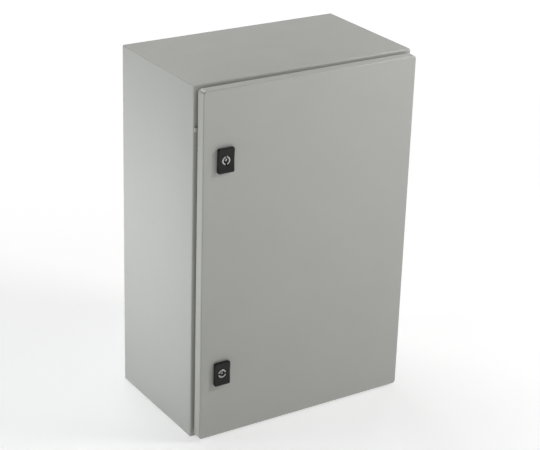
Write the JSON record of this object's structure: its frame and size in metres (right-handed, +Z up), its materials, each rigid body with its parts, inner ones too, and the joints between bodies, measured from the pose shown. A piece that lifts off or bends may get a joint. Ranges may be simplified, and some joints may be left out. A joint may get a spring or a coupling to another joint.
{
  "type": "wall-mounting switchboard cabinet",
  "caption": "Wall-mounting sheet-steel electrical cabinet with a hinged front door, quarter-turn locks, an inner mounting plate and a gland plate in its base.",
  "frame": {"origin": "middle of the bounding box's bottom face, on the surface that the cabinet's base rests on", "axes": "+Z up, -Y the way the door faces, +Y into the wall behind, +X towards the door's hinges"},
  "size_m": [0.4, 0.256, 0.6],
  "materials": {
    "grey_paint": "light grey textured powder coat",
    "black_plastic": "satin black moulding",
    "die_cast_zinc": "die-cast zinc, satin nickel",
    "zinc_plated": "bright zinc plating",
    "galvanised": "hot-dip galvanised sheet",
    "sealing_foam": "foamed-in-place seal with a skin",
    "sealing_rubber": "matt sheet rubber"
  },
  "bodies": {
    "cabinet": {"cabinet_body": "grey_paint", "plate_stud_1": "zinc_plated", "plate_stud_2": "zinc_plated", "plate_stud_3": "zinc_plated", "plate_stud_4": "zinc_plated", "plate_nut_1": "zinc_plated", "plate_nut_2": "zinc_plated", "plate_nut_3": "zinc_plated", "plate_nut_4": "zinc_plated", "mounting_plate": "galvanised", "gland_gasket": "sealing_rubber", "gland_plate": "grey_paint", "gland_screw_1": "zinc_plated", "gland_screw_2": "zinc_plated", "gland_screw_3": "zinc_plated", "gland_screw_4": "zinc_plated", "gland_screw_5": "zinc_plated", "gland_screw_6": "zinc_plated", "body_earth_stud": "zinc_plated", "body_earth_washer": "zinc_plated", "body_earth_nut": "zinc_plated", "door_buffer": "grey_paint", "lower_hinge_bracket": "zinc_plated", "upper_hinge_bracket": "zinc_plated", "lower_hinge_pin": "zinc_plated", "upper_hinge_pin": "zinc_plated"},
    "door": {"door_panel": "grey_paint", "door_gasket": "sealing_foam", "lock_side_rail": "grey_paint", "hinge_side_rail": "grey_paint", "door_earth_stud": "zinc_plated", "door_earth_washer": "zinc_plated", "door_earth_nut": "zinc_plated", "lower_hinge_leaf": "zinc_plated", "upper_hinge_leaf": "zinc_plated", "lower_lock_housing": "black_plastic", "upper_lock_housing": "black_plastic", "lower_lock_seal": "sealing_rubber", "upper_lock_seal": "sealing_rubber", "lower_lock_nut": "die_cast_zinc", "upper_lock_nut": "die_cast_zinc"},
    "upper_lock": {"upper_lock_rotor": "die_cast_zinc", "upper_lock_cam": "zinc_plated", "upper_cam_screw": "zinc_plated"},
    "lower_lock": {"lower_lock_rotor": "die_cast_zinc", "lower_lock_cam": "zinc_plated", "lower_cam_screw": "zinc_plated"}
  },
  "joints": [
    {"name": "door_hinge", "type": "hinge", "parent": "cabinet", "child": "door", "pos_m": [0.1875, -0.113, 0.3], "axis": [0, 0, 1], "range_deg": [0, 120]},
    {"name": "upper_lock_turn", "type": "hinge", "parent": "door", "child": "upper_lock", "pos_m": [-0.157, -0.113, 0.482], "axis": [0, 1, 0], "range_deg": [0, 90]},
    {"name": "lower_lock_turn", "type": "hinge", "parent": "door", "child": "lower_lock", "pos_m": [-0.157, -0.113, 0.118], "axis": [0, 1, 0], "range_deg": [0, 90]}
  ]
}
